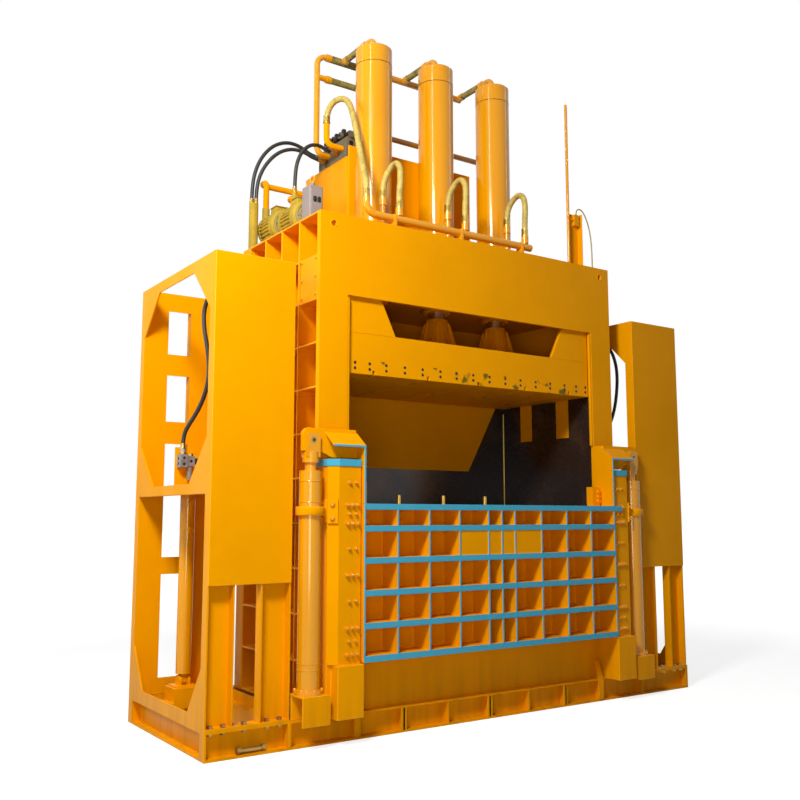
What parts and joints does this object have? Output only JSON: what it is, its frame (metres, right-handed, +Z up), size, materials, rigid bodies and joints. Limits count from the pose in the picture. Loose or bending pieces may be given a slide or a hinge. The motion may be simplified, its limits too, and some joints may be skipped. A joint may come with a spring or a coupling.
{
  "type": "recycling baler",
  "caption": "Large vertical hydraulic baler: a portal press with ram cylinders over a lined chamber, a lattice lift door and outrigger frames with side cylinders.",
  "frame": {"origin": "on the floor, at the middle of the footprint", "axes": "+Z up, -Y towards the door, +X to the right of someone facing the door"},
  "size_m": [4.566, 1.72, 5.543],
  "materials": {
    "enamel": "satin enamel over welded plate",
    "door_enamel": "satin enamel, blue along the rail and rib edges",
    "liner": "dark oiled wear plate",
    "chrome": "hard chrome, polished",
    "rod_steel": "ground steel, enamelled fork",
    "bolt_steel": "oiled steel",
    "grey_enamel": "grey enamel",
    "wrapped_hose": "woven wrap",
    "black_hose": "matt rubber"
  },
  "bodies": {
    "frame": {"base_frame": "enamel", "outrigger_base_left": "enamel", "outrigger_base_right": "enamel", "front_portal": "enamel", "left_wall": "enamel", "right_wall": "enamel", "rear_wall": "enamel", "crosshead": "enamel", "guide_post_left": "enamel", "guide_post_right": "enamel", "foot_blocks": "enamel", "lift_mounts": "enamel", "side_frame_left": "enamel", "side_frame_right": "enamel", "side_panels": "enamel", "main_barrel_left": "enamel", "main_barrel_middle": "enamel", "main_barrel_right": "enamel", "lift_barrel_left": "enamel", "lift_barrel_right": "enamel", "side_barrel_left": "enamel", "side_barrel_right": "enamel", "oil_tank": "enamel", "valve_manifold": "enamel", "feed_pipe": "enamel", "cap_return": "enamel", "riser_pipe": "enamel", "switch_post": "enamel", "chamber_floor": "liner", "side_liners": "liner", "liner_rear": "liner", "post_bolts": "bolt_steel", "base_bolts": "bolt_steel", "pump_motors": "grey_enamel", "shelf_valves": "grey_enamel", "terminal_box": "grey_enamel", "main_hose": "wrapped_hose", "arch_hose_left": "wrapped_hose", "arch_hose_middle": "wrapped_hose", "arch_hose_right": "wrapped_hose", "hose_sleeve": "wrapped_hose", "pump_hose_upper": "black_hose", "pump_hose_lower": "black_hose", "pump_hose_front": "black_hose", "switch_lead": "black_hose", "side_hose_left": "black_hose", "side_hose_right": "black_hose"},
    "platen": {"platen": "enamel", "ram_rods": "chrome", "position_rod": "chrome"},
    "door": {"door": "door_enamel", "door_arm_left": "enamel", "door_arm_right": "enamel", "corner_blocks": "enamel", "lift_rod_left": "rod_steel", "lift_rod_right": "rod_steel", "lift_pins": "bolt_steel"},
    "side_rod_left": {"side_rod_left": "chrome"},
    "side_rod_right": {"side_rod_right": "chrome"}
  },
  "joints": [
    {"name": "platen_press", "type": "slide", "parent": "frame", "child": "platen", "axis": [0, 0, -1], "range_m": [0, 1.3]},
    {"name": "door_lift", "type": "slide", "parent": "frame", "child": "door", "axis": [0, 0, 1], "range_m": [0, 1.08]},
    {"name": "side_rod_left_slide", "type": "slide", "parent": "frame", "child": "side_rod_left", "axis": [0, 0, 1], "range_m": [0, 1.15]},
    {"name": "side_rod_right_slide", "type": "slide", "parent": "frame", "child": "side_rod_right", "axis": [0, 0, 1], "range_m": [0, 1.15]}
  ]
}
